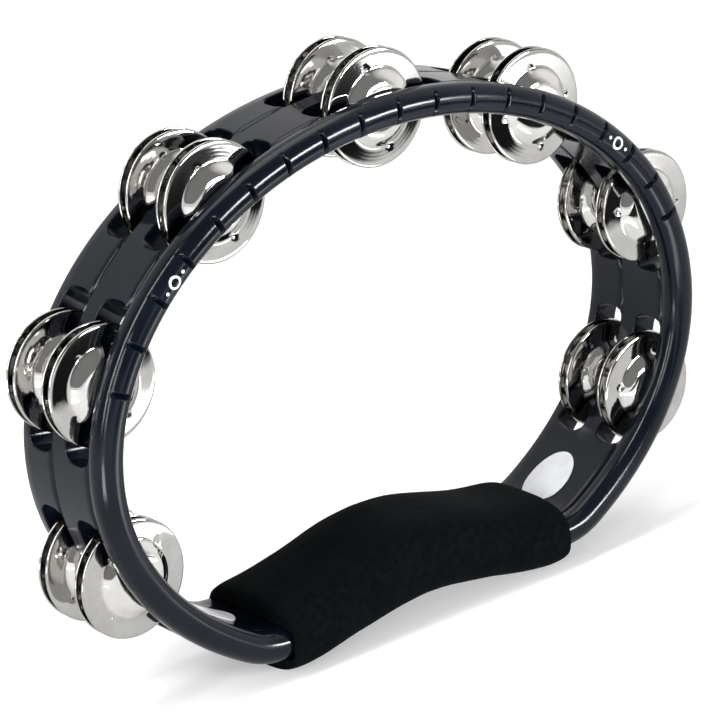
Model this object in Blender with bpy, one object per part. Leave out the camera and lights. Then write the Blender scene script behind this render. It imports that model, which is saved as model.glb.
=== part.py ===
# Hand tambourine: oval slotted hoop, foam grip, and two rows of jingles on pins.
# Metres, +Z up, the hoop's axis along Y with its beaded face towards -Y.
# It stands on the two lobes of the grip, with the floor at Z = 0.
import bisect
import math

import bmesh
import bpy
from mathutils import Vector

MM = 0.001

# Hoop outline, on its outer wall, and the handle that bows into it.
HOOP_HALF_WIDTH = 125.0 * MM
HOOP_RISE = 95.8 * MM
HOOP_FALL = 93.2 * MM
HOOP_END_ANGLE = math.radians(53.3)
HANDLE_DROP = 65.0 * MM
HANDLE_LEAD_IN = 17.9 * MM
HANDLE_BOW = 27.5 * MM

# Hoop section, from the front bead's crest to the rear edge.
BEAD_HALF = 5.15 * MM
WALL_HALF = 4.85 * MM
FRONT_RAIL = 8.0 * MM
SLOT_DEPTH = 12.0 * MM
MIDDLE_RAIL = 7.6 * MM
REAR_RAIL = 4.4 * MM
BEAD_FACE_INSET = 1.8 * MM
BEAD_FACE_DROP = 1.2 * MM
BEAD_SHOULDER_INSET = 0.35 * MM
BEAD_SHOULDER_DROP = 3.2 * MM
GROOVE_DEPTH = 0.7 * MM
GROOVE_FADED = 0.1 * MM
GROOVE_WIDTH = 1.2 * MM
GROOVE_LEAD = 0.35 * MM
EDGE_ROUND = 1.5 * MM

# Slots, pins and jingles.
PLACES = 7
JINGLE_PITCH = 67.85 * MM
SLOT_LENGTH = 50.0 * MM
SLOT_CORNER = 4.0 * MM
PIN_RADIUS = 1.4 * MM
PIN_SEAT = 5.0 * MM
PIN_SUNK = 0.8 * MM
JINGLE_RADIUS = 19.45 * MM
JINGLE_HOLE = 2.2 * MM
JINGLE_DOME = 12.8 * MM
JINGLE_CROWN = 8.0 * MM
JINGLE_HEIGHT = 3.5 * MM
CROWN_DROP = 0.2 * MM
JINGLE_SHEET = 0.75 * MM
FLANGE_RISE = 0.75 * MM

# Crest notches, and the ring between two dots at each end of their row.
NOTCH_PITCH = 15.2 * MM
NOTCHES_PER_SIDE = 9
NOTCH_HALF_WIDTH = 1.1 * MM
NOTCH_DEPTH = 1.7 * MM
NOTCH_CLEAR = 0.9 * MM
MARK_STEP = 6.5
MARK_RING = 2.2 * MM
MARK_LINE = 0.8 * MM
MARK_HEIGHT = 0.4 * MM
MARK_ROOT = 2.0 * MM
MARK_DOT = 0.6 * MM
MARK_DOT_STEP = 4.2 * MM

# Foam grip over the handle's core.
GRIP_LENGTH = 120.3 * MM
GRIP_HALF_DEPTH = 23.4 * MM
GRIP_HALF_THICK = 12.5 * MM
GRIP_SQUARENESS = 3.0
GRIP_SWELL = 2.4 * MM
GRIP_SWELL_REACH = 38.0 * MM
GRIP_END_ROUND = 7.5 * MM
GRIP_END_INSET = 1.6 * MM
GRIP_MOUTH_LIP = 0.8 * MM
POCKET_DEPTH = 6.0 * MM
POCKET_SQUARENESS = 8.0
CORE_HALF_DEPTH = 18.5 * MM
CORE_HALF_THICK = 8.5 * MM
CORE_SQUARENESS = 4.0

# Oval labels on the inner wall.
LABEL_HALF_LENGTH = 12.5 * MM
LABEL_HALF_WIDTH = 8.5 * MM
LABEL_SHEET = 0.35 * MM
LABEL_FROM_GRIP = 18.5 * MM
LABEL_AT_DEPTH = 4.0 * MM
LABEL_BLUNT = 0.06

# Fits and facets.
GAP = 0.3 * MM
FOAM_FIT = 0.4 * MM
CUT_OVER = 7.0 * MM
RING_POINTS = 22
HOOP_STATIONS = 31
CORE_STATIONS = 6
JINGLE_SIDES = 14
PIN_SIDES = 10
CORNER_STEPS = 3
END_STEPS = 4
LABEL_STEPS = 6
PATH_STEPS = 240

# Places along the depth that follow from the section.
DEPTH = FRONT_RAIL + SLOT_DEPTH + MIDDLE_RAIL + SLOT_DEPTH + REAR_RAIL
FRONT_Y = -DEPTH / 2
FRONT_SLOT_Y = FRONT_Y + FRONT_RAIL + SLOT_DEPTH / 2
REAR_SLOT_Y = DEPTH / 2 - REAR_RAIL - SLOT_DEPTH / 2
GROOVES_Y = [slot - SLOT_DEPTH / 2 - GROOVE_LEAD for slot in (FRONT_SLOT_Y, REAR_SLOT_Y)]


# Path of the wall's middle line, half of it, from the top to the handle's middle.
def oval_point(angle):
    """Point of the wall's middle line on the oval, and the outward normal there."""
    height = HOOP_RISE if angle >= 0 else HOOP_FALL
    outer = Vector((HOOP_HALF_WIDTH * math.cos(angle), 0, height * math.sin(angle)))
    normal = Vector((outer.x / HOOP_HALF_WIDTH**2, 0, outer.z / height**2)).normalized()
    return outer - normal * BEAD_HALF, normal


def handle_curve(t):
    start, normal = oval_point(-HOOP_END_ANGLE)
    leave = Vector((normal.z, 0, -normal.x))
    knots = (
        start,
        start + leave * HANDLE_LEAD_IN,
        Vector((HANDLE_BOW, 0, -HANDLE_DROP)),
        Vector((0, 0, -HANDLE_DROP)),
    )
    weights = ((1 - t) ** 3, 3 * t * (1 - t) ** 2, 3 * t**2 * (1 - t), t**3)
    return sum((knot * w for knot, w in zip(knots, weights)), Vector())


def half_path():
    span = math.pi / 2 + HOOP_END_ANGLE
    points = []
    for i in range(PATH_STEPS):
        points.append(oval_point(math.pi / 2 - span * i / PATH_STEPS)[0])
    for i in range(PATH_STEPS + 1):
        points.append(handle_curve(i / PATH_STEPS))
    return points


PATH = half_path()
RUN = [0.0]
for before, after in zip(PATH, PATH[1:]):
    RUN.append(RUN[-1] + (after - before).length)
HALF_RUN = RUN[-1]


def station(run):
    """Point on the wall's middle line, its outward normal and its tangent, at a length from the top."""
    side = -1 if run < 0 else 1
    want = min(abs(run), HALF_RUN)
    i = max(1, bisect.bisect_left(RUN, want))
    share = (want - RUN[i - 1]) / (RUN[i] - RUN[i - 1])
    point = PATH[i - 1].lerp(PATH[i], share)
    tangent = (PATH[min(i + 1, len(PATH) - 1)] - PATH[i - 1]).normalized()
    if want == 0:
        tangent = Vector((1, 0, 0))
    if want == HALF_RUN:
        tangent = Vector((-1, 0, 0))
    normal = Vector((-tangent.z, 0, tangent.x))
    if side < 0:
        point = Vector((-point.x, 0, point.z))
        normal = Vector((-normal.x, 0, normal.z))
        tangent = Vector((tangent.x, 0, -tangent.z))
    return point, normal, tangent


GRIP_END = HALF_RUN - GRIP_LENGTH / 2
SHOULDER = GRIP_END + POCKET_DEPTH


def place(run, out, depth, along=0.0):
    """A point of the object, from its run along the wall, its distance outward and its depth."""
    point, normal, tangent = station(run)
    point = point + normal * out + tangent * along
    return Vector((point.x, depth, point.z + LIFT))


# Meshes: rings of points skinned into one closed body.
def finished(name, bm, material, smooth=True):
    bmesh.ops.recalc_face_normals(bm, faces=bm.faces)
    mesh = bpy.data.meshes.new(name)
    bm.to_mesh(mesh)
    bm.free()
    for face in mesh.polygons:
        face.use_smooth = smooth
    body = bpy.data.objects.new(name, mesh)
    bpy.context.scene.collection.objects.link(body)
    if material:
        mesh.materials.append(material)
    return body


def skin(bm, rings, closed):
    """Skins a row of rings. A closed row joins its ends, and an open one is capped."""
    rows = [[bm.verts.new(point) for point in ring] for ring in rings]
    pairs = list(zip(rows, rows[1:]))
    if closed:
        pairs.append((rows[-1], rows[0]))
    else:
        bm.faces.new(rows[0])
        bm.faces.new(rows[-1])
    for near, far in pairs:
        for k in range(len(near)):
            after = (k + 1) % len(near)
            bm.faces.new((near[k], near[after], far[after], far[k]))


def skinned(name, rings, closed, material, smooth=True):
    bm = bmesh.new()
    skin(bm, rings, closed)
    return finished(name, bm, material, smooth)


def boolean(body, cutter, operation):
    modifier = body.modifiers.new(cutter.name, "BOOLEAN")
    modifier.operation = operation
    modifier.solver = "EXACT"
    modifier.object = cutter
    cutter.hide_render = True
    cutter.display_type = "WIRE"


def surface(name, colour, roughness, metallic=0.0):
    material = bpy.data.materials.new(name)
    material.use_nodes = True
    shader = material.node_tree.nodes["Principled BSDF"]
    shader.inputs["Base Color"].default_value = (*colour, 1)
    shader.inputs["Roughness"].default_value = roughness
    shader.inputs["Metallic"].default_value = metallic
    return material


# Sections, as (outward, depth) points that start at the front and go round by the outer side.
def oval_section(half_thick, half_depth, squareness):
    section = []
    for k in range(RING_POINTS):
        turn = 2 * math.pi * k / RING_POINTS
        out = math.copysign(abs(math.sin(turn)) ** (2 / squareness), math.sin(turn))
        depth = -math.copysign(abs(math.cos(turn)) ** (2 / squareness), math.cos(turn))
        section.append((half_thick * out, half_depth * depth))
    return section


def hoop_section(grooved):
    cut = GROOVE_DEPTH if grooved else GROOVE_FADED
    lip = GROOVE_WIDTH / 2
    rear = DEPTH / 2
    outer = [(BEAD_HALF - BEAD_FACE_INSET, FRONT_Y + BEAD_FACE_DROP)]
    outer.append((BEAD_HALF - BEAD_SHOULDER_INSET, FRONT_Y + BEAD_SHOULDER_DROP))
    outer.append((BEAD_HALF, GROOVES_Y[0] - lip))
    outer.append((WALL_HALF - GROOVE_DEPTH, GROOVES_Y[0]))
    outer.append((WALL_HALF, GROOVES_Y[0] + lip))
    outer.append((WALL_HALF, GROOVES_Y[1] - lip))
    outer.append((WALL_HALF - cut, GROOVES_Y[1]))
    outer.append((WALL_HALF, GROOVES_Y[1] + lip))
    outer.append((WALL_HALF, rear - EDGE_ROUND))
    outer.append((WALL_HALF - EDGE_ROUND, rear))
    inner = [(-out, depth) for out, depth in reversed(outer)]
    return [(0.0, FRONT_Y)] + outer + [(0.0, rear)] + inner


def ring_at(run, section):
    return [place(run, out, depth) for out, depth in section]


# Where the jingles, notches and handle stations are along the wall.
JINGLE_RUNS = [JINGLE_PITCH * (i - (PLACES - 1) / 2) for i in range(PLACES)]
LAST_SLOT = JINGLE_RUNS[-1] + SLOT_LENGTH / 2
HALF_STEP = SHOULDER / (2 * HOOP_STATIONS - 1)
HOOP_RUNS = [HALF_STEP * (2 * i + 1) for i in range(HOOP_STATIONS)]
CORE_START = SHOULDER + GAP
CORE_RUNS = [CORE_START + (HALF_RUN - CORE_START) * i / CORE_STATIONS for i in range(CORE_STATIONS)]


def hoop_rings():
    core = oval_section(CORE_HALF_THICK, CORE_HALF_DEPTH, CORE_SQUARENESS)
    right = [(run, hoop_section(run < LAST_SLOT)) for run in HOOP_RUNS]
    right += [(run, core) for run in CORE_RUNS]
    left = [(-run, section) for run, section in reversed(right)]
    return [ring_at(run, section) for run, section in right + [(HALF_RUN, core)] + left]


def slot_ring(run, middle, out):
    """A rounded rectangle across the wall, at one distance outward."""
    ring = []
    long_half = SLOT_LENGTH / 2 - SLOT_CORNER
    deep_half = SLOT_DEPTH / 2 - SLOT_CORNER
    for quarter, (a, b) in enumerate(((1, 1), (-1, 1), (-1, -1), (1, -1))):
        for step in range(CORNER_STEPS + 1):
            turn = math.pi / 2 * (quarter + step / CORNER_STEPS)
            along = a * long_half + SLOT_CORNER * math.cos(turn)
            depth = b * deep_half + SLOT_CORNER * math.sin(turn)
            ring.append(place(run + along, out, middle + depth))
    return ring


def circle(run, depth, radius, sides):
    """A ring about a line along the depth, with no corner on the wall's middle line."""
    turns = [2 * math.pi * (k + 0.5) / sides for k in range(sides)]
    return [place(run, radius * math.sin(t), depth, radius * math.cos(t)) for t in turns]


def slot_cutter():
    bm = bmesh.new()
    reach = BEAD_HALF + CUT_OVER
    for run in JINGLE_RUNS:
        for middle in (FRONT_SLOT_Y, REAR_SLOT_Y):
            skin(bm, [slot_ring(run, middle, out) for out in (-reach, reach)], False)
    return finished("slot_cutter", bm, None, False)


def pin_hole_cutter():
    bm = bmesh.new()
    seat = FRONT_Y + FRONT_RAIL - PIN_SEAT - GAP
    for run in JINGLE_RUNS:
        ends = (seat, DEPTH / 2 + CUT_OVER)
        skin(bm, [circle(run, depth, PIN_RADIUS + GAP, PIN_SIDES) for depth in ends], False)
    return finished("pin_hole_cutter", bm, None, False)


def notch_cutter():
    bm = bmesh.new()
    top = FRONT_Y - NOTCH_CLEAR
    flare = NOTCH_HALF_WIDTH * (NOTCH_DEPTH + NOTCH_CLEAR) / NOTCH_DEPTH
    vee = ((-flare, top), (0.0, FRONT_Y + NOTCH_DEPTH), (flare, top))
    for k in range(-NOTCHES_PER_SIDE, NOTCHES_PER_SIDE + 1):
        run = k * NOTCH_PITCH
        rings = []
        for out in (-BEAD_HALF - GAP, BEAD_HALF + GAP):
            rings.append([place(run, out, depth, along) for along, depth in vee])
        skin(bm, rings, False)
    return finished("notch_cutter", bm, None, False)


def mark_ornament():
    bm = bmesh.new()
    top = FRONT_Y - MARK_HEIGHT
    foot = FRONT_Y + MARK_ROOT
    for side in (-1, 1):
        run = side * MARK_STEP * NOTCH_PITCH
        outer = [circle(run, depth, MARK_RING, JINGLE_SIDES) for depth in (foot, top)]
        inner = [circle(run, depth, MARK_RING - MARK_LINE, JINGLE_SIDES) for depth in (top, foot)]
        skin(bm, outer + inner, True)
        for step in (-1, 1):
            dot = run + step * MARK_DOT_STEP
            skin(bm, [circle(dot, depth, MARK_DOT, PIN_SIDES) for depth in (foot, top)], False)
    return finished("mark_ornament", bm, None, False)


def build_hoop(material):
    hoop = skinned("hoop_frame", hoop_rings(), True, material, False)
    boolean(hoop, mark_ornament(), "UNION")
    for cutter in (slot_cutter(), pin_hole_cutter(), notch_cutter()):
        boolean(hoop, cutter, "DIFFERENCE")


# Foam sleeve: outer rings from end to end, then the bore's rings back again.
def grip_outer():
    """Runs of the right half's outer rings, with the share of the end's inset at each."""
    rings = []
    for step in range(END_STEPS):
        turn = math.pi / 2 * step / END_STEPS
        run = GRIP_END + GRIP_END_ROUND * (1 - math.cos(turn))
        rings.append((run, 1 - math.sin(turn)))
    first = GRIP_END + GRIP_END_ROUND
    rings += [(first + (HALF_RUN - first) * i / CORE_STATIONS, 0.0) for i in range(CORE_STATIONS)]
    return rings


def grip_section(run, share):
    """The sleeve's section, which swells on its inner side towards the handle's middle."""
    mouth = DEPTH / 2 + FOAM_FIT + GRIP_MOUTH_LIP
    half_depth = GRIP_HALF_DEPTH + (mouth - GRIP_HALF_DEPTH) * share
    half_thick = GRIP_HALF_THICK - GRIP_END_INSET * share
    off_middle = min(1.0, (HALF_RUN - run) / GRIP_SWELL_REACH)
    swell = 1 + GRIP_SWELL / half_thick * math.cos(math.pi / 2 * off_middle) ** 2
    section = oval_section(half_thick, half_depth, GRIP_SQUARENESS)
    return [(out * swell if out < 0 else out, depth) for out, depth in section]


def grip_lowest():
    lowest = []
    for run, share in grip_outer():
        point, normal, _ = station(run)
        lowest += [(point + normal * out).z for out, _ in grip_section(run, share)]
    return min(lowest)


LIFT = -grip_lowest()


def build_grip(material):
    pocket = oval_section(BEAD_HALF + FOAM_FIT, DEPTH / 2 + FOAM_FIT, POCKET_SQUARENESS)
    bore = oval_section(CORE_HALF_THICK + FOAM_FIT, CORE_HALF_DEPTH + FOAM_FIT, CORE_SQUARENESS)
    right_out = [(run, grip_section(run, share)) for run, share in grip_outer()]
    right_in = [(GRIP_END, pocket), (SHOULDER, pocket), (CORE_START, bore)]
    right_in += [(run, bore) for run in CORE_RUNS[1:]]
    left_out = [(-run, section) for run, section in right_out]
    left_in = [(-run, section) for run, section in right_in]
    loop = left_out + [(HALF_RUN, grip_section(HALF_RUN, 0.0))] + right_out[::-1]
    loop += right_in + [(HALF_RUN, bore)] + left_in[::-1]
    skinned("foam_grip", [ring_at(run, section) for run, section in loop], True, material)


# Pins and jingles.
def build_pin(name, run, material):
    ends = (FRONT_Y + FRONT_RAIL - PIN_SEAT, DEPTH / 2 - PIN_SUNK)
    skinned(name, [circle(run, depth, PIN_RADIUS, PIN_SIDES) for depth in ends], False, material)


def jingle_profile():
    """(radius, height) points round the dished sheet, from the hole's edge on the domed side."""
    domed = [(JINGLE_HOLE, JINGLE_HEIGHT), (JINGLE_CROWN, JINGLE_HEIGHT - CROWN_DROP)]
    domed += [(JINGLE_DOME, FLANGE_RISE), (JINGLE_RADIUS, 0.0)]
    return domed + [(radius, height - JINGLE_SHEET) for radius, height in reversed(domed)]


def build_jingle(name, run, middle, side, material):
    """A jingle that hangs on its pin. Side is -1 for the front one of a pair, +1 for the rear one."""
    crown = SLOT_DEPTH / 2 - GAP
    pin = place(run, 0.0, 0.0)
    hang = JINGLE_HOLE - PIN_RADIUS - GAP
    rings = []
    for k in range(JINGLE_SIDES):
        turn = 2 * math.pi * k / JINGLE_SIDES
        ring = []
        for radius, height in jingle_profile():
            depth = middle + side * (crown - JINGLE_HEIGHT + height)
            ring.append((radius * math.cos(turn), depth, radius * math.sin(turn)))
        rings.append(ring)
    jingle = skinned(name, rings, True, material)
    jingle.location = (pin.x, 0, pin.z - hang)


def on_flat(run, out, depth):
    """A point off the hoop's flats, which span from station to station."""
    i = max(1, bisect.bisect_left(HOOP_RUNS, abs(run)))
    near, far = HOOP_RUNS[i - 1], HOOP_RUNS[i]
    side = math.copysign(1.0, run)
    share = (abs(run) - near) / (far - near)
    return place(side * near, out, depth).lerp(place(side * far, out, depth), share)


def build_label(name, side, material):
    """A thin oval that follows the inner wall."""
    centre = side * (GRIP_END - LABEL_FROM_GRIP)
    near = WALL_HALF + GAP
    rings = []
    for step in range(-LABEL_STEPS, LABEL_STEPS + 1):
        turn = math.pi / 2 * (1 - LABEL_BLUNT) * step / LABEL_STEPS
        along = LABEL_HALF_LENGTH * math.sin(turn)
        half = LABEL_HALF_WIDTH * math.cos(turn)
        corners = ((near, -half), (near, half), (near + LABEL_SHEET, half), (near + LABEL_SHEET, -half))
        rings.append([on_flat(centre + along, -out, LABEL_AT_DEPTH + depth) for out, depth in corners])
    skinned(name, rings, False, material)


for old in list(bpy.data.objects):
    bpy.data.objects.remove(old, do_unlink=True)

black_plastic = surface("black_plastic", (0.012, 0.014, 0.019), 0.42)
black_foam = surface("black_foam", (0.004, 0.005, 0.007), 0.92)
plated_steel = surface("plated_steel", (0.78, 0.78, 0.77), 0.16, 1.0)
pin_steel = surface("pin_steel", (0.55, 0.55, 0.55), 0.3, 1.0)
white_film = surface("white_film", (0.82, 0.83, 0.84), 0.38)

build_hoop(black_plastic)
build_grip(black_foam)
for number, at in enumerate(JINGLE_RUNS, 1):
    build_pin(f"pin_{number}", at, pin_steel)
    for row, row_y in (("front", FRONT_SLOT_Y), ("rear", REAR_SLOT_Y)):
        for letter, facing in (("a", -1), ("b", 1)):
            build_jingle(f"jingle_{number}_{row}_{letter}", at, row_y, facing, plated_steel)
build_label("label_left", -1, white_film)
build_label("label_right", 1, white_film)
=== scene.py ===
import math

import bmesh
import bpy
from mathutils import Matrix, Vector


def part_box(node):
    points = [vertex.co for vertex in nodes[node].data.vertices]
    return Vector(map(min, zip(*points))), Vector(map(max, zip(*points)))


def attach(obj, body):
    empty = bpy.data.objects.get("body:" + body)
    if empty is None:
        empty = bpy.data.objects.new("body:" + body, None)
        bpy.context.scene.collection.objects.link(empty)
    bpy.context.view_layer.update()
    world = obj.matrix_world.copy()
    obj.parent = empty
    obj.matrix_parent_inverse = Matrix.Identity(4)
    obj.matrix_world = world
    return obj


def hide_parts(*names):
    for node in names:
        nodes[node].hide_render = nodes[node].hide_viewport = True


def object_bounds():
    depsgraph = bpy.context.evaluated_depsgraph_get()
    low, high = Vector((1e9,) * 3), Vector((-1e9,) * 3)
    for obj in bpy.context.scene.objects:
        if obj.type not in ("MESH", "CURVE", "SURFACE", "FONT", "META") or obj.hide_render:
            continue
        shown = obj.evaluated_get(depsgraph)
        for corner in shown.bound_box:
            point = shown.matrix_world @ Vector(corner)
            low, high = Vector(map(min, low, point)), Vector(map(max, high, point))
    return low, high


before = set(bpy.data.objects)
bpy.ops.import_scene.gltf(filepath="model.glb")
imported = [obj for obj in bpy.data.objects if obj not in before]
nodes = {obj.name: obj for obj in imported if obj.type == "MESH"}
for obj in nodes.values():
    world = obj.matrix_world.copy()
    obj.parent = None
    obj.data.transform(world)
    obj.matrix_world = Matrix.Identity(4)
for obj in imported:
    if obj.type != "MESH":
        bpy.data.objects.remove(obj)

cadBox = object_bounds()
scene = bpy.context.scene
scene.view_settings.view_transform = "Standard"
mm = 0.001
tiny = 0.001 * mm  # lengths closer than this count as the same
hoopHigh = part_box("hoop_frame")[1]
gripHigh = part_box("foam_grip")[1]
print("frame:", len(nodes), "nodes")

# camera, at the photograph's angle
view = {
    "azimuth": -37.47,
    "elevation": 19.73,
    "roll": -4.51,
    "distance": 1093.2 * mm,
    "lens": 168.2,
    "sensor": 36.0,
    "clip": (0.05, 50.0),
    "aside": -7.17 * mm,
    "belowTop": 90.63 * mm,  # aim point under the hoop's top
}


def makeCamera():
    a, e, r = (math.radians(view[k]) for k in ("azimuth", "elevation", "roll"))
    back = Vector((math.sin(a) * math.cos(e), -math.cos(a) * math.cos(e), math.sin(e)))
    level = Vector((math.cos(a), math.sin(a), 0))
    rise = back.cross(level)
    right = level * math.cos(r) + rise * math.sin(r)
    up = rise * math.cos(r) - level * math.sin(r)
    data = bpy.data.cameras.new("camera")
    data.lens, data.sensor_width = view["lens"], view["sensor"]
    data.clip_start, data.clip_end = view["clip"]
    camera = bpy.data.objects.new("camera", data)
    aim = Vector((view["aside"], 0, hoopHigh.z - view["belowTop"]))
    turn = Matrix((right, up, back)).transposed().to_4x4()
    camera.matrix_world = Matrix.Translation(aim + back * view["distance"]) @ turn
    scene.collection.objects.link(camera)
    scene.camera = camera


makeCamera()
print("camera placed")

# finishes
nodeSettings = ("operation", "data_type", "blend_type")  # set on the node itself, not on a socket


def newFinish(name, **sockets):
    material = bpy.data.materials.new(name)
    material.use_nodes = True
    tree = material.node_tree
    shader = tree.nodes["Principled BSDF"]
    for socket, value in sockets.items():
        shader.inputs[socket.replace("_", " ")].default_value = value
    return material, tree, shader


def addNode(tree, kind, feeds=None, **settings):
    # feeds: socket by name or number, with a plain value or the socket that it is linked to
    made = tree.nodes.new(kind)
    for name, value in settings.items():
        if name in nodeSettings:
            setattr(made, name, value)
        else:
            made.inputs[name].default_value = value
    for socket, source in (feeds or {}).items():
        if isinstance(source, bpy.types.NodeSocket):
            tree.links.new(source, made.inputs[socket])
        else:
            made.inputs[socket].default_value = source
    return made


def numberFrom(tree, operation, *terms):
    return addNode(tree, "ShaderNodeMath", dict(enumerate(terms)), operation=operation).outputs["Value"]


def measureFrom(tree, operation, *terms):
    # vectors in, one number out
    made = addNode(tree, "ShaderNodeVectorMath", dict(enumerate(terms)), operation=operation)
    return made.outputs["Value"]


def objectPoint(tree, stretch=(1, 1, 1)):
    source = tree.nodes.new("ShaderNodeTexCoord").outputs["Object"]
    return addNode(tree, "ShaderNodeMapping", {"Vector": source, "Scale": stretch}).outputs["Vector"]


def noiseOf(tree, point, scale, detail=4.0, rough=0.55):
    feeds = {"Vector": point, "Scale": scale, "Detail": detail, "Roughness": rough}
    return addNode(tree, "ShaderNodeTexNoise", feeds).outputs["Fac"]


def spread(tree, source, low, high, start=0.3, end=0.7):
    feeds = {"Value": source, "From Min": start, "From Max": end, "To Min": low, "To Max": high}
    return addNode(tree, "ShaderNodeMapRange", feeds).outputs["Result"]


def twoTone(tree, source, dark, light, start=0.35, end=0.65):
    ramp = addNode(tree, "ShaderNodeValToRGB", {"Fac": source})
    first, last = ramp.color_ramp.elements
    first.position, last.position = start, end
    first.color = (*dark, 1)
    last.color = (*light, 1)
    return ramp.outputs["Color"]


def dress(tree, shader, colour, rough, bumps):
    # bumps: (height, (strength, distance)), laid over each other
    tree.links.new(colour, shader.inputs["Base Color"])
    tree.links.new(rough, shader.inputs["Roughness"])
    normal = None
    for height, (strength, distance) in bumps:
        bump = addNode(tree, "ShaderNodeBump", {"Height": height}, Strength=strength, Distance=distance)
        if normal:
            tree.links.new(normal, bump.inputs["Normal"])
        normal = bump.outputs["Normal"]
    tree.links.new(normal, shader.inputs["Normal"])


# in every look a noise is (scale, detail, roughness), and a bump is (strength, distance)
plasticLook = {
    "dark": (0.0016, 0.0028, 0.0058),
    "light": (0.0032, 0.0050, 0.0094),
    "rough": (0.12, 0.18),
    "specular": 0.22,
    "cloud": (55.0,),
    "grain": (2600.0, 2.0),
    "grainBump": (0.10, 0.12 * mm),
    "flow": (320.0, 3.0),  # moulding lines round the wall
    "flowStretch": (1.0, 9.0, 1.0),
    "flowBump": (0.05, 0.2 * mm),
}


def satinPlastic():
    look = plasticLook
    material, tree, shader = newFinish("satin_plastic", Specular_IOR_Level=look["specular"])
    point = objectPoint(tree)
    cloud = noiseOf(tree, point, *look["cloud"])
    grain = noiseOf(tree, point, *look["grain"])
    flow = noiseOf(tree, objectPoint(tree, look["flowStretch"]), *look["flow"])
    colour = twoTone(tree, cloud, look["dark"], look["light"])
    rough = spread(tree, cloud, *look["rough"])
    dress(tree, shader, colour, rough, [(grain, look["grainBump"]), (flow, look["flowBump"])])
    return material


foamLook = {
    "dark": (0.0008, 0.0014, 0.0018),
    "light": (0.0022, 0.0034, 0.0042),
    "rough": (0.82, 0.98),
    "specular": 0.03,
    "sheen": 0.006,
    "sheenRough": 0.5,
    "cloud": (38.0,),
    "skin": (420.0, 5.0, 0.62),
    "skinBump": (0.30, 0.6 * mm),
    "cell": 1500.0,  # cells a metre
    "cellBump": (0.35, 0.3 * mm),
}


def closedFoam():
    look = foamLook
    material, tree, shader = newFinish(
        "closed_cell_foam",
        Specular_IOR_Level=look["specular"],
        Sheen_Weight=look["sheen"],
        Sheen_Roughness=look["sheenRough"],
    )
    point = objectPoint(tree)
    cells = addNode(tree, "ShaderNodeTexVoronoi", {"Vector": point}, Scale=look["cell"]).outputs["Distance"]
    skin = noiseOf(tree, point, *look["skin"])
    cloud = noiseOf(tree, point, *look["cloud"])
    colour = twoTone(tree, skin, look["dark"], look["light"])
    rough = spread(tree, cloud, *look["rough"])
    dress(tree, shader, colour, rough, [(cells, look["cellBump"]), (skin, look["skinBump"])])
    return material


nickelLook = {
    "bright": (0.80, 0.79, 0.77),  # dome, painted lighter than flange and rim: painted highlight
    "dull": (0.54, 0.535, 0.525),  # flange, painted darker than the dome: painted reflection of the dark room
    # rim, painted darker than the dome as well: painted reflection of the dark room
    "rim": (0.50, 0.49, 0.47),
    "zones": ((12.0 * mm, "bright"), (13.0 * mm, "dull"), (18.6 * mm, "dull"), (19.1 * mm, "rim")),
    "zoneEnd": 20.0 * mm,
    "smudge": (95.0, 5.0, 0.6),
    "smudgeTint": (0.86, 0.85, 0.84),
    "rough": (0.08, 0.035),  # smudged, clean
    "peen": (210.0, 2.0),
    "peenBump": (0.03, 0.4 * mm),
    "scratch": (260.0, 3.0),
    "scratchStretch": (14.0, 1.0, 0.7),
    "scratchBump": (0.012, 0.1 * mm),
    "lathe": 5200.0,  # turned lines, radians a metre
    "latheBump": (0.03, 0.04 * mm),
}


def brightNickel():
    look = nickelLook
    material, tree, shader = newFinish("bright_nickel", Metallic=1.0)
    point = objectPoint(tree)
    flat = addNode(tree, "ShaderNodeVectorMath", {0: point, 1: (1, 0, 1)}, operation="MULTIPLY")
    radius = measureFrom(tree, "LENGTH", flat.outputs["Vector"])
    lathe = numberFrom(tree, "SINE", numberFrom(tree, "MULTIPLY", radius, look["lathe"]))
    smudge = noiseOf(tree, point, *look["smudge"])
    peen = noiseOf(tree, point, *look["peen"])
    scratch = noiseOf(tree, objectPoint(tree, look["scratchStretch"]), *look["scratch"])
    # flange and rim painted darker than the dome: painted reflection of the dark room, with the dome as
    # painted highlight
    share = spread(tree, radius, 0.0, 1.0, 0.0, look["zoneEnd"])
    zones = addNode(tree, "ShaderNodeValToRGB", {"Fac": share})
    stops = zones.color_ramp.elements
    stops[0].color, stops[1].color = (*look["bright"], 1), (*look["rim"], 1)
    for at, tone in look["zones"]:
        stops.new(at / look["zoneEnd"]).color = (*look[tone], 1)
    tint = twoTone(tree, smudge, look["smudgeTint"], (1, 1, 1))
    # the zones' painted reflection, times the tint of real smudges
    feeds = {"Factor": 1.0, 6: zones.outputs["Color"], 7: tint}
    smudgedAndPaintedShade = addNode(tree, "ShaderNodeMix", feeds, data_type="RGBA", blend_type="MULTIPLY")
    bumps = [(peen, look["peenBump"]), (scratch, look["scratchBump"]), (lathe, look["latheBump"])]
    dress(tree, shader, smudgedAndPaintedShade.outputs[2], spread(tree, smudge, *look["rough"]), bumps)
    return material


steelLook = {
    "dark": (0.36, 0.36, 0.36),
    "light": (0.56, 0.56, 0.55),
    "rough": (0.24, 0.42),
    "stain": (240.0,),
    "drawn": (5200.0, 3.0),  # lines along the wire
    "drawnStretch": (1.0, 0.02, 1.0),
    "drawnBump": (0.15, 0.1 * mm),
}


def drawnSteel():
    look = steelLook
    material, tree, shader = newFinish("drawn_steel", Metallic=1.0)
    drawn = noiseOf(tree, objectPoint(tree, look["drawnStretch"]), *look["drawn"])
    stain = noiseOf(tree, objectPoint(tree), *look["stain"])
    colour = twoTone(tree, stain, look["dark"], look["light"])
    dress(tree, shader, colour, spread(tree, drawn, *look["rough"]), [(drawn, look["drawnBump"])])
    return material


filmLook = {
    "dark": (0.70, 0.71, 0.73),
    "light": (0.80, 0.81, 0.83),
    "rough": (0.30, 0.42),
    "specular": 0.4,
    "cloud": (130.0,),
    "fibre": (2400.0, 3.0),
    "fibreBump": (0.06, 0.1 * mm),
}


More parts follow.
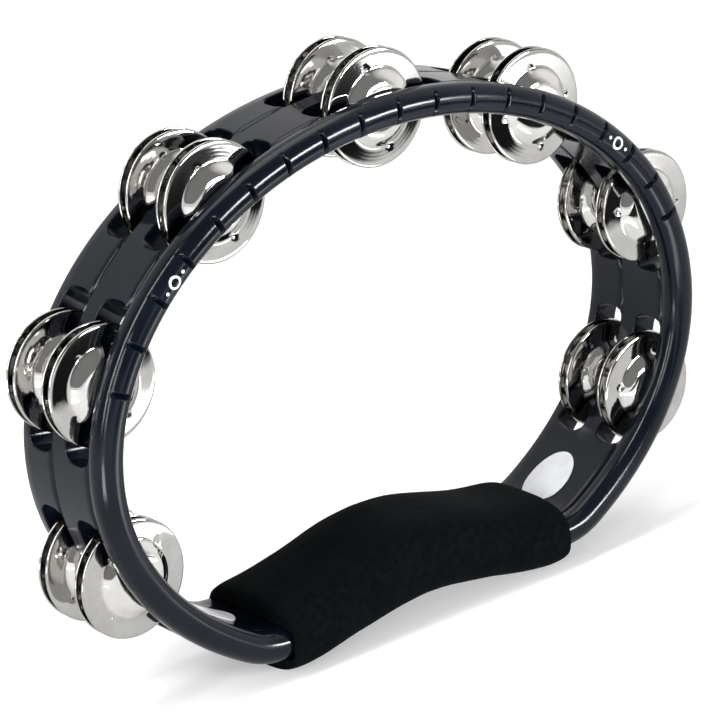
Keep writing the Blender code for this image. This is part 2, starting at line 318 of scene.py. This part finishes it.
def whiteFilm():
    look = filmLook
    material, tree, shader = newFinish("white_film", Specular_IOR_Level=look["specular"])
    cloud = noiseOf(tree, objectPoint(tree), *look["cloud"])
    fibre = noiseOf(tree, objectPoint(tree), *look["fibre"])
    colour = twoTone(tree, cloud, look["dark"], look["light"])
    dress(tree, shader, colour, spread(tree, cloud, *look["rough"]), [(fibre, look["fibreBump"])])
    return material


plastic, foam, nickel = satinPlastic(), closedFoam(), brightNickel()
steel, film = drawnSteel(), whiteFilm()
print("finishes made")

# hoop and handle bar, as one moulding
hoop = {
    "halfWidth": 125.0 * mm,
    "rise": 95.8 * mm,
    "fall": 93.2 * mm,
    "endAngle": math.radians(53.3),
    "handleDrop": 65.0 * mm,
    "leadIn": 17.9 * mm,
    "bow": 27.5 * mm,
    "beadHalf": 5.15 * mm,
    "wallHalf": 4.85 * mm,
    "frontRail": 8.0 * mm,
    "slotDepth": 12.0 * mm,
    "middleRail": 7.6 * mm,
    "rearRail": 4.4 * mm,
    "beadRound": 5.0 * mm,
    "beadSquare": 2.15,
    "beadSteps": 9,
    "beadLip": ((0.0, 1.3 * mm), (0.3 * mm, 0.8 * mm)),  # in from the bead, before the first slot
    "groove": 0.75 * mm,
    "grooveStart": 0.9 * mm,  # before the slot's front edge
    "grooveDeepest": 0.35 * mm,
    "grooveEnd": 0.5 * mm,  # past that edge
    "rearEdge": ((0.0, 1.6 * mm), (0.4 * mm, 0.5 * mm), (1.4 * mm, 0.0)),  # in from the wall, from the rear
    "slotLength": 50.0 * mm,
    "slotCorner": 4.0 * mm,
    "cornerMiddle": 0.62,  # share of the corner at which its arc has a middle point
    "slotEdge": 0.55 * mm,
    "slotEdgeSteps": 2,
    "places": 7,
    "pitch": 67.85 * mm,
    "notchPitch": 15.2 * mm,
    "notches": 9,  # a side
    "notchHalf": 1.0 * mm,
    "notchDeep": 1.9 * mm,
    "notchLip": 0.45,  # share of the slot edges' rounding
    "pinPlay": 0.3 * mm,
    "boreSides": 28,
    "step": 3.0 * mm,
    "leastStep": 0.12 * mm,
    "pathSteps": 300,
    "gripLength": 120.3 * mm,
    "pocket": 6.0 * mm,
    "coreDepth": 18.5 * mm,
    "coreThick": 8.5 * mm,
    "coreSquare": 4.0,
    "coreGap": 0.3 * mm,
    "coreSteps": 24,
    "sharp": math.radians(38),
}
hoopMiddle = hoopHigh.z - hoop["rise"]
depth = hoop["frontRail"] + hoop["middleRail"] + hoop["rearRail"] + 2 * hoop["slotDepth"]
frontY = -depth / 2
firstSlotY = frontY + hoop["frontRail"]
slotFronts = (firstSlotY, firstSlotY + hoop["slotDepth"] + hoop["middleRail"])
slotCentres = [hoop["pitch"] * (k - hoop["places"] // 2) for k in range(hoop["places"])]
slotHalf = hoop["slotLength"] / 2
lastSlot = slotCentres[-1] + slotHalf
cornerPoints = (hoop["slotCorner"], hoop["slotCorner"] * hoop["cornerMiddle"])


def ovalPoint(angle):
    tall = hoop["rise"] if angle >= 0 else hoop["fall"]
    wide = hoop["halfWidth"]
    outer = Vector((wide * math.cos(angle), 0, tall * math.sin(angle)))
    normal = Vector((outer.x / wide**2, 0, outer.z / tall**2)).normalized()
    return outer - normal * hoop["beadHalf"], normal


def handlePoint(t):
    start, normal = ovalPoint(-hoop["endAngle"])
    leave = start + Vector((normal.z, 0, -normal.x)) * hoop["leadIn"]
    arrive = Vector((hoop["bow"], 0, -hoop["handleDrop"]))
    end = Vector((0, 0, -hoop["handleDrop"]))
    s = 1 - t
    return start * s**3 + leave * 3 * t * s**2 + arrive * 3 * t**2 * s + end * t**3


# wall path: half of it, from the hoop's top to the middle of the handle
pathSteps = hoop["pathSteps"]
swing = math.pi / 2 + hoop["endAngle"]
path = [ovalPoint(math.pi / 2 - swing * i / pathSteps)[0] for i in range(pathSteps)]
path += [handlePoint(i / pathSteps) for i in range(pathSteps + 1)]
runs = [0.0]
for near, far in zip(path, path[1:]):
    runs.append(runs[-1] + (far - near).length)
halfRun = runs[-1]
gripEnd = halfRun - hoop["gripLength"] / 2
shoulder = gripEnd + hoop["pocket"]


def place(run, out, deep):
    # a point at a run along the wall from the top, a distance outward and a depth
    want = min(abs(run), halfRun)
    low, high = 0, len(runs) - 1
    while high - low > 1:
        middle = (low + high) // 2
        low, high = (middle, high) if runs[middle] < want else (low, middle)
    point = path[low].lerp(path[high], (want - runs[low]) / (runs[high] - runs[low]))
    tangent = (path[min(high + 1, len(path) - 1)] - path[max(low - 1, 0)]).normalized()
    if want in (0.0, halfRun):
        tangent = Vector((1 if want == 0.0 else -1, 0, 0))
    normal = Vector((-tangent.z, 0, tangent.x))
    x, z = point.x + normal.x * out, point.z + normal.z * out
    return Vector((x if run >= 0 else -x, deep, z + hoopMiddle))


def finishMesh(name, bm, material, sharpAngle=None):
    bmesh.ops.recalc_face_normals(bm, faces=bm.faces)
    mesh = bpy.data.meshes.new(name)
    bm.to_mesh(mesh)
    bm.free()
    mesh.polygons.foreach_set("use_smooth", [True] * len(mesh.polygons))
    if sharpAngle:
        mesh.set_sharp_from_angle(angle=sharpAngle)
    mesh.materials.append(material)
    return mesh


def addPiece(name, mesh, body, slot, *replaced):
    piece = bpy.data.objects.new(name, mesh)
    scene.collection.objects.link(piece)
    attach(piece, body)
    if replaced:
        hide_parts(*replaced)
    return piece


def joinRows(bm, rows):
    for near, far in zip(rows, rows[1:]):
        for k in range(len(near)):
            n = (k + 1) % len(near)
            bm.faces.new((near[k], near[n], far[n], far[k]))


def skinRings(bm, rings, closed):
    rows = [[bm.verts.new(p) for p in ring] for ring in rings]
    joinRows(bm, rows + rows[:1] if closed else rows)
    if not closed:
        bm.faces.new(rows[0])
        bm.faces.new(rows[-1])


def ovalSection(thick, deep, square, count):
    section = []
    for k in range(count):
        turn = 2 * math.pi * k / count
        out = math.copysign(abs(math.sin(turn)) ** (2 / square), math.sin(turn))
        away = -math.copysign(abs(math.cos(turn)) ** (2 / square), math.cos(turn))
        section.append((thick * out, deep * away))
    return section


def pinNames():
    return sorted(name for name in nodes if name.startswith("pin_"))


def rodRing(name, y, grow, sides):
    # a ring about a pin's axis, wider than the pin by what grow says
    low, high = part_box(name)
    x, z = (low.x + high.x) / 2, (low.z + high.z) / 2
    radius = max(high.x - low.x, high.z - low.z) / 2 + grow
    turns = [2 * math.pi * k / sides for k in range(sides)]
    return [(x + radius * math.cos(t), y, z + radius * math.sin(t)) for t in turns]


# a grid of stations round the wall and points round its section, with the slots left open in the grid
def hoopSide():
    # outer side of the section, crest to rear edge: (out, deep, fading groove, slot line)
    bead, wall, cut = hoop["beadHalf"], hoop["wallHalf"], hoop["groove"]
    corner, bend = cornerPoints
    power = 2 / hoop["beadSquare"]
    side = []
    for k in range(1, hoop["beadSteps"] + 1):
        t = math.pi / 2 * k / hoop["beadSteps"]
        out = bead * math.sin(t) ** power
        side.append((out, frontY + hoop["beadRound"] * (1 - math.cos(t) ** power), 0, ""))
    for inward, before in hoop["beadLip"]:
        side.append((bead - inward, slotFronts[0] - before, 0, ""))
    for number, start in enumerate(slotFronts):
        end = start + hoop["slotDepth"]
        # the front groove goes all round, and the other one ends with the slots
        always, fading = (0.0, cut) if number else (cut, 0.0)
        if number:
            side.append((wall, start - hoop["grooveStart"], 0, ""))
        side.append((wall - always, start - hoop["grooveDeepest"], fading, ""))
        side.append((wall - always / 2, start, fading / 2, f"open{number}"))
        side.append((wall, start + hoop["grooveEnd"], 0, ""))
        for at in (start + bend, start + corner, (start + end) / 2, end - corner, end - bend):
            side.append((wall, at, 0, ""))
        side.append((wall, end, 0, f"shut{number}"))
    for inward, before in hoop["rearEdge"]:
        side.append((wall - inward, -frontY - before, 0, ""))
    return side


def hoopStations():
    fixed = [-shoulder, shoulder]
    for centre in slotCentres:
        fixed += [centre + s * (slotHalf - inset) for s in (-1, 1) for inset in (0, *cornerPoints)]
    for k in range(-hoop["notches"], hoop["notches"] + 1):
        at = k * hoop["notchPitch"]
        fixed += [at - hoop["notchHalf"], at, at + hoop["notchHalf"]]
    fixed.sort()
    kept = [p for p, q in zip(fixed, fixed[1:] + [math.inf]) if q - p > hoop["leastStep"]]
    stations = []
    for near, far in zip(kept, kept[1:]):
        parts = max(1, round((far - near) / hoop["step"]))
        stations += [near + (far - near) * i / parts for i in range(parts)]
    return stations + [kept[-1]]


def roundedSlot(run, deep):
    # a grid point in a slot's corner, drawn in to the corner's arc
    r = hoop["slotCorner"]
    for centre in slotCentres:
        for start in slotFronts:
            end = start + hoop["slotDepth"]
            a = slotHalf - abs(run - centre)
            b = min(deep - start, end - deep)
            if not (-tiny <= a < r and -tiny <= b < r):
                continue
            reach = math.hypot(r - a, r - b)
            if reach <= r:
                continue
            a2, b2 = r - (r - a) * r / reach, r - (r - b) * r / reach
            run = centre + math.copysign(slotHalf - a2, run - centre)
            deep = start + b2 if deep - start < end - deep else end - b2
    return run, deep


def offNotch(run):
    # how far a run is from its nearest notch, infinite past the last one
    k = round(run / hoop["notchPitch"])
    return abs(run - k * hoop["notchPitch"]) if abs(k) <= hoop["notches"] else math.inf


def notchAt(run):
    return max(0.0, 1 - offNotch(run) / hoop["notchHalf"]) * hoop["notchDeep"]


def hoopGrid(bm, side, stations):
    grid = []
    for run in stations:
        low = frontY + notchAt(run)
        grooved = 1.0 if abs(run) < lastSlot else 0.0
        ring = [(0.0, low)]
        ring += [(out - fading * grooved, max(deep, low)) for out, deep, fading, _ in side]
        ring.append((0.0, -frontY))
        ring += [(-out, deep) for out, deep in reversed(ring[1:-1])]
        row = []
        for out, deep in ring:
            at, away = roundedSlot(run, deep)
            row.append(bm.verts.new(place(at, out, away)))
        grid.append(row)
    return grid


def boredForPins(piece):
    # holes for the pins, open at the hoop's rear edge
    bm = bmesh.new()
    for name in pinNames():
        low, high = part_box(name)
        ends = (low.y - hoop["pinPlay"], high.y + hoop["rearRail"])
        skinRings(bm, [rodRing(name, y, hoop["pinPlay"], hoop["boreSides"]) for y in ends], False)
    drill = bpy.data.objects.new("drill", finishMesh("drill", bm, plastic, hoop["sharp"]))
    scene.collection.objects.link(drill)
    bore = piece.modifiers.new("bores", "BOOLEAN")
    bore.operation, bore.solver, bore.object = "DIFFERENCE", "EXACT", drill
    bored = bpy.data.meshes.new_from_object(piece.evaluated_get(bpy.context.evaluated_depsgraph_get()))
    piece.modifiers.clear()
    piece.data = bored
    bpy.data.objects.remove(drill, do_unlink=True)


def buildHoop():
    side = hoopSide()
    stations = hoopStations()
    count = 2 * len(side) + 2  # points round the section
    lines = {line: k + 1 for k, (_, _, _, line) in enumerate(side) if line}
    bm = bmesh.new()
    weight = bm.edges.layers.float.new("bevel_weight_edge")
    grid = hoopGrid(bm, side, stations)

    def inSlot(i, k):
        middle = (stations[i] + stations[i + 1]) / 2
        if not any(abs(middle - centre) < slotHalf for centre in slotCentres):
            return False
        k = k if k < count // 2 else count - 1 - k
        return any(lines[f"open{n}"] <= k < lines[f"shut{n}"] for n in range(len(slotFronts)))

    for i in range(len(stations) - 1):
        for k in range(count):
            n = (k + 1) % count
            if not inSlot(i, k):
                bm.faces.new((grid[i][k], grid[i][n], grid[i + 1][n], grid[i + 1][k]))
    # slot walls, across the wall's thickness
    for i in range(len(stations) - 1):
        for k in range(count // 2):
            if not inSlot(i, k):
                continue
            neighbours = (  # the cell beside this one, and the edge between them
                ((i, k - 1), (i, k), (i + 1, k)),
                ((i, k + 1), (i, k + 1), (i + 1, k + 1)),
                ((i - 1, k), (i, k), (i, k + 1)),
                ((i + 1, k), (i + 1, k), (i + 1, k + 1)),
            )
            for beside, (i1, k1), (i2, k2) in neighbours:
                if inSlot(*beside):
                    continue
                a, b = grid[i1][k1], grid[i2][k2]
                c, d = grid[i2][count - k2], grid[i1][count - k1]
                bm.faces.new((a, b, c, d))
                for u, v in ((a, b), (c, d)):
                    bm.edges.get((u, v))[weight] = 1.0
    # notch lips
    reach = sum(1 for _, deep, _, _ in side if deep < frontY + hoop["notchDeep"])
    for row, run in zip(grid, stations):
        if abs(offNotch(run) - hoop["notchHalf"]) > tiny:
            continue
        for j in range(-reach, reach):
            bm.edges.get((row[j], row[j + 1]))[weight] = hoop["notchLip"]
    # handle bar, on from the hoop's two ends
    bar = ovalSection(hoop["coreThick"], hoop["coreDepth"], hoop["coreSquare"], count)
    steps = hoop["coreSteps"]
    barRuns = [shoulder + hoop["coreGap"] + (halfRun - shoulder) * i / steps for i in range(steps)]
    barRuns = barRuns + [halfRun] + [-run for run in reversed(barRuns)]
    rows = [[bm.verts.new(place(run, out, deep)) for out, deep in bar] for run in barRuns]
    joinRows(bm, [grid[-1]] + rows + [grid[0]])
    mesh = finishMesh("hoop", bm, plastic, hoop["sharp"])
    piece = addPiece("hoop", mesh, "frame", "black_plastic", "hoop_frame")
    bevel = piece.modifiers.new("slot_edges", "BEVEL")
    bevel.width, bevel.segments, bevel.limit_method = hoop["slotEdge"], hoop["slotEdgeSteps"], "WEIGHT"
    boredForPins(piece)
    print("hoop:", len(piece.data.polygons), "faces")


buildHoop()

# ring between two dots, raised on the crest at each side
mark = {
    "step": 6.5,  # notches from the top
    "ring": 1.85 * mm,
    "line": 0.42 * mm,
    "ringTurns": 40,
    "lineTurns": 10,
    "dot": 0.62 * mm,
    "dotHeight": 0.8,  # share of the dot's radius
    "dotTurns": 20,
    "dotSteps": 6,
    "apart": 4.2 * mm,
    "sunk": 0.12 * mm,
}


def crestDrop(out):
    # how far the round bead falls back from its crest
    p = hoop["beadSquare"]
    return hoop["beadRound"] * (1 - (1 - min(1.0, abs(out) / hoop["beadHalf"]) ** p) ** (1 / p))


def markRing(run):
    rings = []
    for k in range(mark["ringTurns"]):
        t = 2 * math.pi * k / mark["ringTurns"]
        ring = []
        for j in range(mark["lineTurns"]):
            u = 2 * math.pi * j / mark["lineTurns"]
            away = mark["ring"] + mark["line"] * math.cos(u)
            out = away * math.sin(t)
            deep = frontY + crestDrop(out) + mark["sunk"] - mark["line"] * math.sin(u)
            ring.append(place(run + away * math.cos(t), out, deep))
        rings.append(ring)
    return rings


def markDot(run):
    turns = [2 * math.pi * k / mark["dotTurns"] for k in range(mark["dotTurns"])]
    dome = []
    for j in range(mark["dotSteps"]):
        u = math.pi / 2 * j / mark["dotSteps"]
        away = mark["dot"] * math.cos(u)
        deep = frontY + mark["sunk"] - mark["dotHeight"] * mark["dot"] * math.sin(u)
        dome.append([place(run + away * math.cos(t), away * math.sin(t), deep) for t in turns])
    return dome


def buildMarks():
    for side, name in ((-1, "left"), (1, "right")):
        run = side * mark["step"] * hoop["notchPitch"]
        bm = bmesh.new()
        skinRings(bm, markRing(run), True)
        for step in (-1, 1):
            skinRings(bm, markDot(run + step * mark["apart"]), False)
        addPiece(f"crest_mark_{name}", finishMesh(f"crest_mark_{name}", bm, film), "frame", "white_film")
    print("crest marks")


buildMarks()

# foam sleeve on the handle
grip = {
    "halfDepth": gripHigh.y,
    "halfThick": 12.5 * mm,
    "swell": 2.4 * mm,  # fuller on the inner side, at the handle's middle
    "swellReach": 38.0 * mm,
    "square": 3.0,
    "endRound": 7.5 * mm,
    "endInset": 1.6 * mm,
    "endSteps": 9,
    "mouthLip": 0.8 * mm,  # foam left in front of and behind the wall at each end
    "pocketSquare": 8.0,
    "fit": 0.4 * mm,
    "wave": 0.12 * mm,  # slight unevenness of the foam
    "waveShare": 0.5,
    "waves": ((1.0, 170.0, 2), (0.6, 310.0, -3)),  # height, radians a metre along, waves round
    "around": 72,
    "along": 80,
    "sharp": math.radians(60),
}


def foamSection(run, share):
    # share: 1 at the very end, 0 past its rounding
    section = []
    mouth = depth / 2 + grip["fit"] + grip["mouthLip"]
    deepest = grip["halfDepth"] + (mouth - grip["halfDepth"]) * share
    thick = grip["halfThick"] - grip["endInset"] * share
    offMiddle = min(1.0, (halfRun - abs(run)) / grip["swellReach"])
    swell = 1 + grip["swell"] / thick * math.cos(math.pi / 2 * offMiddle) ** 2
    for k, (out, deep) in enumerate(ovalSection(thick, deepest, grip["square"], grip["around"])):
        out = out * swell if out < 0 else out
        turn = 2 * math.pi * k / grip["around"]
        ripple = sum(high * math.sin(run * along + about * turn) for high, along, about in grip["waves"])
        shrink = 1 - (1 - share) * grip["wave"] * (1 + grip["waveShare"] * ripple) / grip["halfThick"]
        section.append((out * shrink, deep * shrink))
    return section


def buildGrip():
    ends = []
    for k in range(grip["endSteps"]):
        t = math.pi / 2 * k / grip["endSteps"]
        ends.append((gripEnd + grip["endRound"] * (1 - math.cos(t)), 1 - math.sin(t)))
    first = gripEnd + grip["endRound"]
    half = grip["along"] // 2
    right = ends + [(first + (halfRun - first) * k / half, 0.0) for k in range(half)]
    outer = [(-run, share) for run, share in right] + [(halfRun, 0.0)] + right[::-1]
    sections = [(run, foamSection(run, share)) for run, share in outer]
    fit, around, steps = grip["fit"], grip["around"], hoop["coreSteps"]
    pocket = ovalSection(hoop["beadHalf"] + fit, depth / 2 + fit, grip["pocketSquare"], around)
    bore = ovalSection(hoop["coreThick"] + fit, hoop["coreDepth"] + fit, hoop["coreSquare"], around)
    inside = [(gripEnd, pocket), (shoulder, pocket), (shoulder + hoop["coreGap"], bore)]
    inside += [(shoulder + (halfRun - shoulder) * k / steps, bore) for k in range(1, steps)]
    sections += inside + [(halfRun, bore)] + [(-run, section) for run, section in reversed(inside)]
    bm = bmesh.new()
    skinRings(bm, [[place(run, out, deep) for out, deep in section] for run, section in sections], True)
    mesh = finishMesh("grip_sleeve", bm, foam, grip["sharp"])
    piece = addPiece("grip_sleeve", mesh, "frame", "black_foam", "foam_grip")
    print("grip sleeve")


buildGrip()

# jingles: one turned sheet with stamped dimples, set on every jingle's node
jingle = {
    "height": 3.5 * mm,
    "turns": 128,
    "dimples": 4,
    "dimpleAt": 13.1 * mm,
    "dimpleWide": 1.15 * mm,
    "dimpleDeep": 0.42 * mm,
    "lean": math.radians(0.7),
    "leanTurns": (2.4, 1.7),  # radians from pair to pair
    "spin": 2.39996,  # radians from jingle to jingle
    "sharp": math.radians(50),
}


def jingleProfile():
    # (radius, height) in mm over the domed side, hole to rim, then back under it
    dome = [(2.2, 3.36), (2.4, 3.5), (4.2, 3.5), (6.4, 3.46), (7.9, 3.34), (9.0, 3.10), (9.9, 2.72)]
    dome += [(10.6, 2.26), (11.2, 1.80), (11.7, 1.44), (12.1, 1.14), (12.4, 0.92), (12.7, 0.75)]
    flange = [(13.0, 0.64), (13.4, 0.56), (13.9, 0.52), (14.6, 0.47), (16.0, 0.37), (17.6, 0.26)]
    rim = [(18.7, 0.17), (19.2, 0.06), (19.40, -0.12), (19.45, -0.34), (19.38, -0.58), (19.15, -0.72)]
    under = [(18.6, -0.62), (17.2, -0.47), (15.6, -0.36), (14.2, -0.26), (13.3, -0.18), (12.6, 0.03)]
    hollow = [(11.9, 0.40), (11.2, 0.88), (10.3, 1.50), (9.4, 2.05), (8.2, 2.48), (6.2, 2.70)]
    hollow += [(4.0, 2.75), (2.3, 2.76), (2.2, 2.90)]
    return [(r * mm, h * mm) for r, h in dome + flange + rim + under + hollow]


def dimpleDip(x, z):
    dip = 0.0
    for n in range(jingle["dimples"]):
        a = 2 * math.pi * (n + 0.5) / jingle["dimples"]
        off = math.hypot(x - jingle["dimpleAt"] * math.cos(a), z - jingle["dimpleAt"] * math.sin(a))
        share = max(0.0, 1 - (off / jingle["dimpleWide"]) ** 2)
        dip = max(dip, jingle["dimpleDeep"] * share)
    return dip


def jingleMesh():
    rings = []
    for k in range(jingle["turns"]):
        turn = 2 * math.pi * k / jingle["turns"]
        ring = []
        for radius, height in jingleProfile():
            x, z = radius * math.cos(turn), radius * math.sin(turn)
            ring.append((x, -(height - dimpleDip(x, z)), z))
        rings.append(ring)
    bm = bmesh.new()
    skinRings(bm, rings, True)
    return finishMesh("jingle", bm, nickel, jingle["sharp"])


def buildJingles():
    mesh = jingleMesh()
    leanX, leanZ = jingle["leanTurns"]
    for number, name in enumerate(sorted(n for n in nodes if n.startswith("jingle_"))):
        low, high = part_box(name)
        facesFront = name.endswith("a")
        y = low.y + jingle["height"] if facesFront else high.y - jingle["height"]
        piece = addPiece(f"{name}_sheet", mesh, name, "plated_steel", name)
        pair = number // 2  # both of a pair lean alike
        lean = Matrix.Rotation(jingle["lean"] * math.sin(leanX * pair), 4, "X")
        lean = lean @ Matrix.Rotation(jingle["lean"] * math.cos(leanZ * pair), 4, "Z")
        face = Matrix.Rotation(0 if facesFront else math.pi, 4, "Z")
        spin = Matrix.Rotation(jingle["spin"] * number, 4, "Y")
        at = Matrix.Translation(((low.x + high.x) / 2, y, (low.z + high.z) / 2))
        piece.matrix_world = at @ lean @ face @ spin
    print("jingles")


buildJingles()

# pins, with chamfered ends
pin = {"sides": 24, "chamfer": 0.3 * mm, "sharp": math.radians(35)}


def buildPins():
    cut = pin["chamfer"]
    for name in pinNames():
        low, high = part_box(name)
        ends = ((low.y, -cut), (low.y + cut, 0.0), (high.y - cut, 0.0), (high.y, -cut))
        bm = bmesh.new()
        skinRings(bm, [rodRing(name, y, grow, pin["sides"]) for y, grow in ends], False)
        mesh = finishMesh(f"{name}_rod", bm, steel, pin["sharp"])
        addPiece(f"{name}_rod", mesh, "frame", "pin_steel", name)
    print("pins")


buildPins()

# oval labels on the inner wall
label = {
    "halfLength": 12.5 * mm,
    "halfWidth": 8.5 * mm,
    "fromGrip": 18.5 * mm,
    "deep": 4.0 * mm,
    "off": 0.12 * mm,
    "sheet": 0.25 * mm,
    "steps": 24,  # each way from the middle
    "blunt": 0.6,  # the ends stop this part of a step short of a point
    "sharp": math.radians(40),
}


def buildLabels():
    steps = label["steps"]
    near = hoop["wallHalf"] + label["off"]
    far = near + label["sheet"]
    for side, name in ((-1, "label_left"), (1, "label_right")):
        middle = side * (gripEnd - label["fromGrip"])
        rings = []
        for k in range(-steps, steps + 1):
            t = math.pi / 2 * k / (steps + label["blunt"])
            along, half = label["halfLength"] * math.sin(t), label["halfWidth"] * math.cos(t)
            corners = ((near, -half), (near, half), (far, half), (far, -half))
            rings.append([place(middle + along, -out, label["deep"] + away) for out, away in corners])
        bm = bmesh.new()
        skinRings(bm, rings, False)
        mesh = finishMesh(f"{name}_film", bm, film, label["sharp"])
        addPiece(f"{name}_film", mesh, "frame", "white_film", name)
    print("labels")


buildLabels()

# floor, light and background
studio = {
    "floor": 0.84,
    "floorVary": 0.01,
    "floorCloud": (3.0,),
    "floorRough": 0.85,
    "floorHalf": 6.0,
    "floorDrop": 0.4 * mm,
    "lift": 0.27,  # floor's own white, where it is looked at
    "farLift": 0.85,
    "farReach": (0.6, 2.5),
    "ambient": 0.40,
    "room": 0.22,  # how bright the room in front of the white sweep looks in the metal
    "roomEdge": (-0.25, 0.15),
    "dark": 0.008,  # floor in the gap, as the metal sees it
    "table": 0.72,  # floor beside the gap, as the metal sees it
    "tableFront": (-0.32, -0.28),
    "gapAcross": (1, 0.38, 0),  # the gap runs off to the right
    "gapAt": 0.045,
    "gapHalf": (0.20, 0.25),
    "lamps": {
        "key": (7.0, (0.3, 0.8), (-1.20, -0.85, 0.50)),  # watts, size, place
        "rim": (11.0, (0.10, 1.3), (-0.95, -0.20, 0.75)),
        "low": (20.0, (0.5, 0.17), (0.60, -1.10, 0.22)),
        "top": (9.0, (1.2, 1.0), (0.1, 0.4, 1.6)),
    },
    "panels": {
        "near": (0.2, (0.16, 0.06), (0.08, -0.19), 0.0),  # let into the floor: watts, size, place, turn
        "edge": (1.4, (0.30, 0.10), (-0.40, -0.225), math.radians(35)),
    },
    "panelDrop": 0.2 * mm,
}


def seenDirectly(tree):
    rays = tree.nodes.new("ShaderNodeLightPath")
    camera, glossy = rays.outputs["Is Camera Ray"], rays.outputs["Is Glossy Ray"]
    either = numberFrom(tree, "MAXIMUM", camera, glossy)
    every = numberFrom(tree, "MAXIMUM", either, rays.outputs["Is Transmission Ray"])
    return every, camera, glossy


def dimInFront(tree):
    # the room is dimmer on the camera's side of the white sweep
    a = math.radians(view["azimuth"])
    point = tree.nodes.new("ShaderNodeTexCoord").outputs["Generated"]
    toward = measureFrom(tree, "DOT_PRODUCT", point, (-math.sin(a), math.cos(a), 0))
    return spread(tree, toward, studio["room"], 1.0, *studio["roomEdge"])


def darkAhead(tree):
    # past the table's front edge the metal sees a dark gap, with pale floor to both sides
    point = objectPoint(tree)
    tones = studio["dark"], studio["table"]
    front = addNode(tree, "ShaderNodeSeparateXYZ", {"Vector": point}).outputs["Y"]
    table = spread(tree, front, *tones, *studio["tableFront"])
    across = measureFrom(tree, "DOT_PRODUCT", point, studio["gapAcross"])
    aside = numberFrom(tree, "ABSOLUTE", numberFrom(tree, "SUBTRACT", across, studio["gapAt"]))
    return numberFrom(tree, "MAXIMUM", table, spread(tree, aside, *tones, *studio["gapHalf"]))


def buildWorld():
    world = bpy.data.worlds.new("studio")
    scene.world = world
    world.use_nodes = True
    tree = world.node_tree
    background = tree.nodes["Background"]
    background.inputs["Color"].default_value = (1, 1, 1, 1)
    seen, camera, _ = seenDirectly(tree)
    white = numberFrom(tree, "MAXIMUM", dimInFront(tree), camera)
    strength = spread(tree, seen, studio["ambient"], white, 0.0, 1.0)
    tree.links.new(strength, background.inputs["Strength"])


def floorFinish():
    material, tree, shader = newFinish("pale_floor", Roughness=studio["floorRough"], Specular_IOR_Level=0.0)
    shader.inputs["Emission Color"].default_value = (1, 1, 1, 1)
    point = objectPoint(tree)
    seen, _, glossy = seenDirectly(tree)
    feeds = {"Factor": glossy, 2: 1.0, 3: darkAhead(tree)}
    shade = addNode(tree, "ShaderNodeMix", feeds, data_type="FLOAT").outputs[0]
    pale, vary = studio["floor"], studio["floorVary"]
    cloud = noiseOf(tree, point, *studio["floorCloud"])
    tone = twoTone(tree, cloud, (pale - vary,) * 3, (pale + vary,) * 3)
    shaded = addNode(tree, "ShaderNodeVectorMath", {0: tone, "Scale": shade}, operation="SCALE")
    tree.links.new(shaded.outputs["Vector"], shader.inputs["Base Color"])
    lift = numberFrom(tree, "MULTIPLY", seen, shade)
    reach = measureFrom(tree, "LENGTH", point)
    white = spread(tree, reach, studio["lift"], studio["farLift"], *studio["farReach"])
    tree.links.new(numberFrom(tree, "MULTIPLY", lift, white), shader.inputs["Emission Strength"])
    return material


def buildFloor():
    bm = bmesh.new()
    bmesh.ops.create_grid(bm, x_segments=2, y_segments=2, size=studio["floorHalf"])
    floor = bpy.data.objects.new("floor", finishMesh("floor", bm, floorFinish()))
    floor.location.z = -studio["floorDrop"]
    scene.collection.objects.link(floor)


def hangLamp(name, power, size, at, turned):
    lamp = bpy.data.lights.new(name, "AREA")
    lamp.energy, lamp.shape, lamp.size, lamp.size_y = power, "RECTANGLE", *size
    holder = bpy.data.objects.new(name, lamp)
    holder.location, holder.rotation_euler = at, turned
    holder.visible_camera = False
    scene.collection.objects.link(holder)


def buildLamps():
    aim = (cadBox[0] + cadBox[1]) / 2
    for name, (power, size, at) in studio["lamps"].items():
        hangLamp(name, power, size, at, (aim - Vector(at)).to_track_quat("-Z", "Y").to_euler())
    for name, (power, size, (x, y), turn) in studio["panels"].items():
        hangLamp(name, power, size, (x, y, -studio["panelDrop"]), (math.pi, 0, turn))


buildWorld()
buildFloor()
buildLamps()
print("studio")
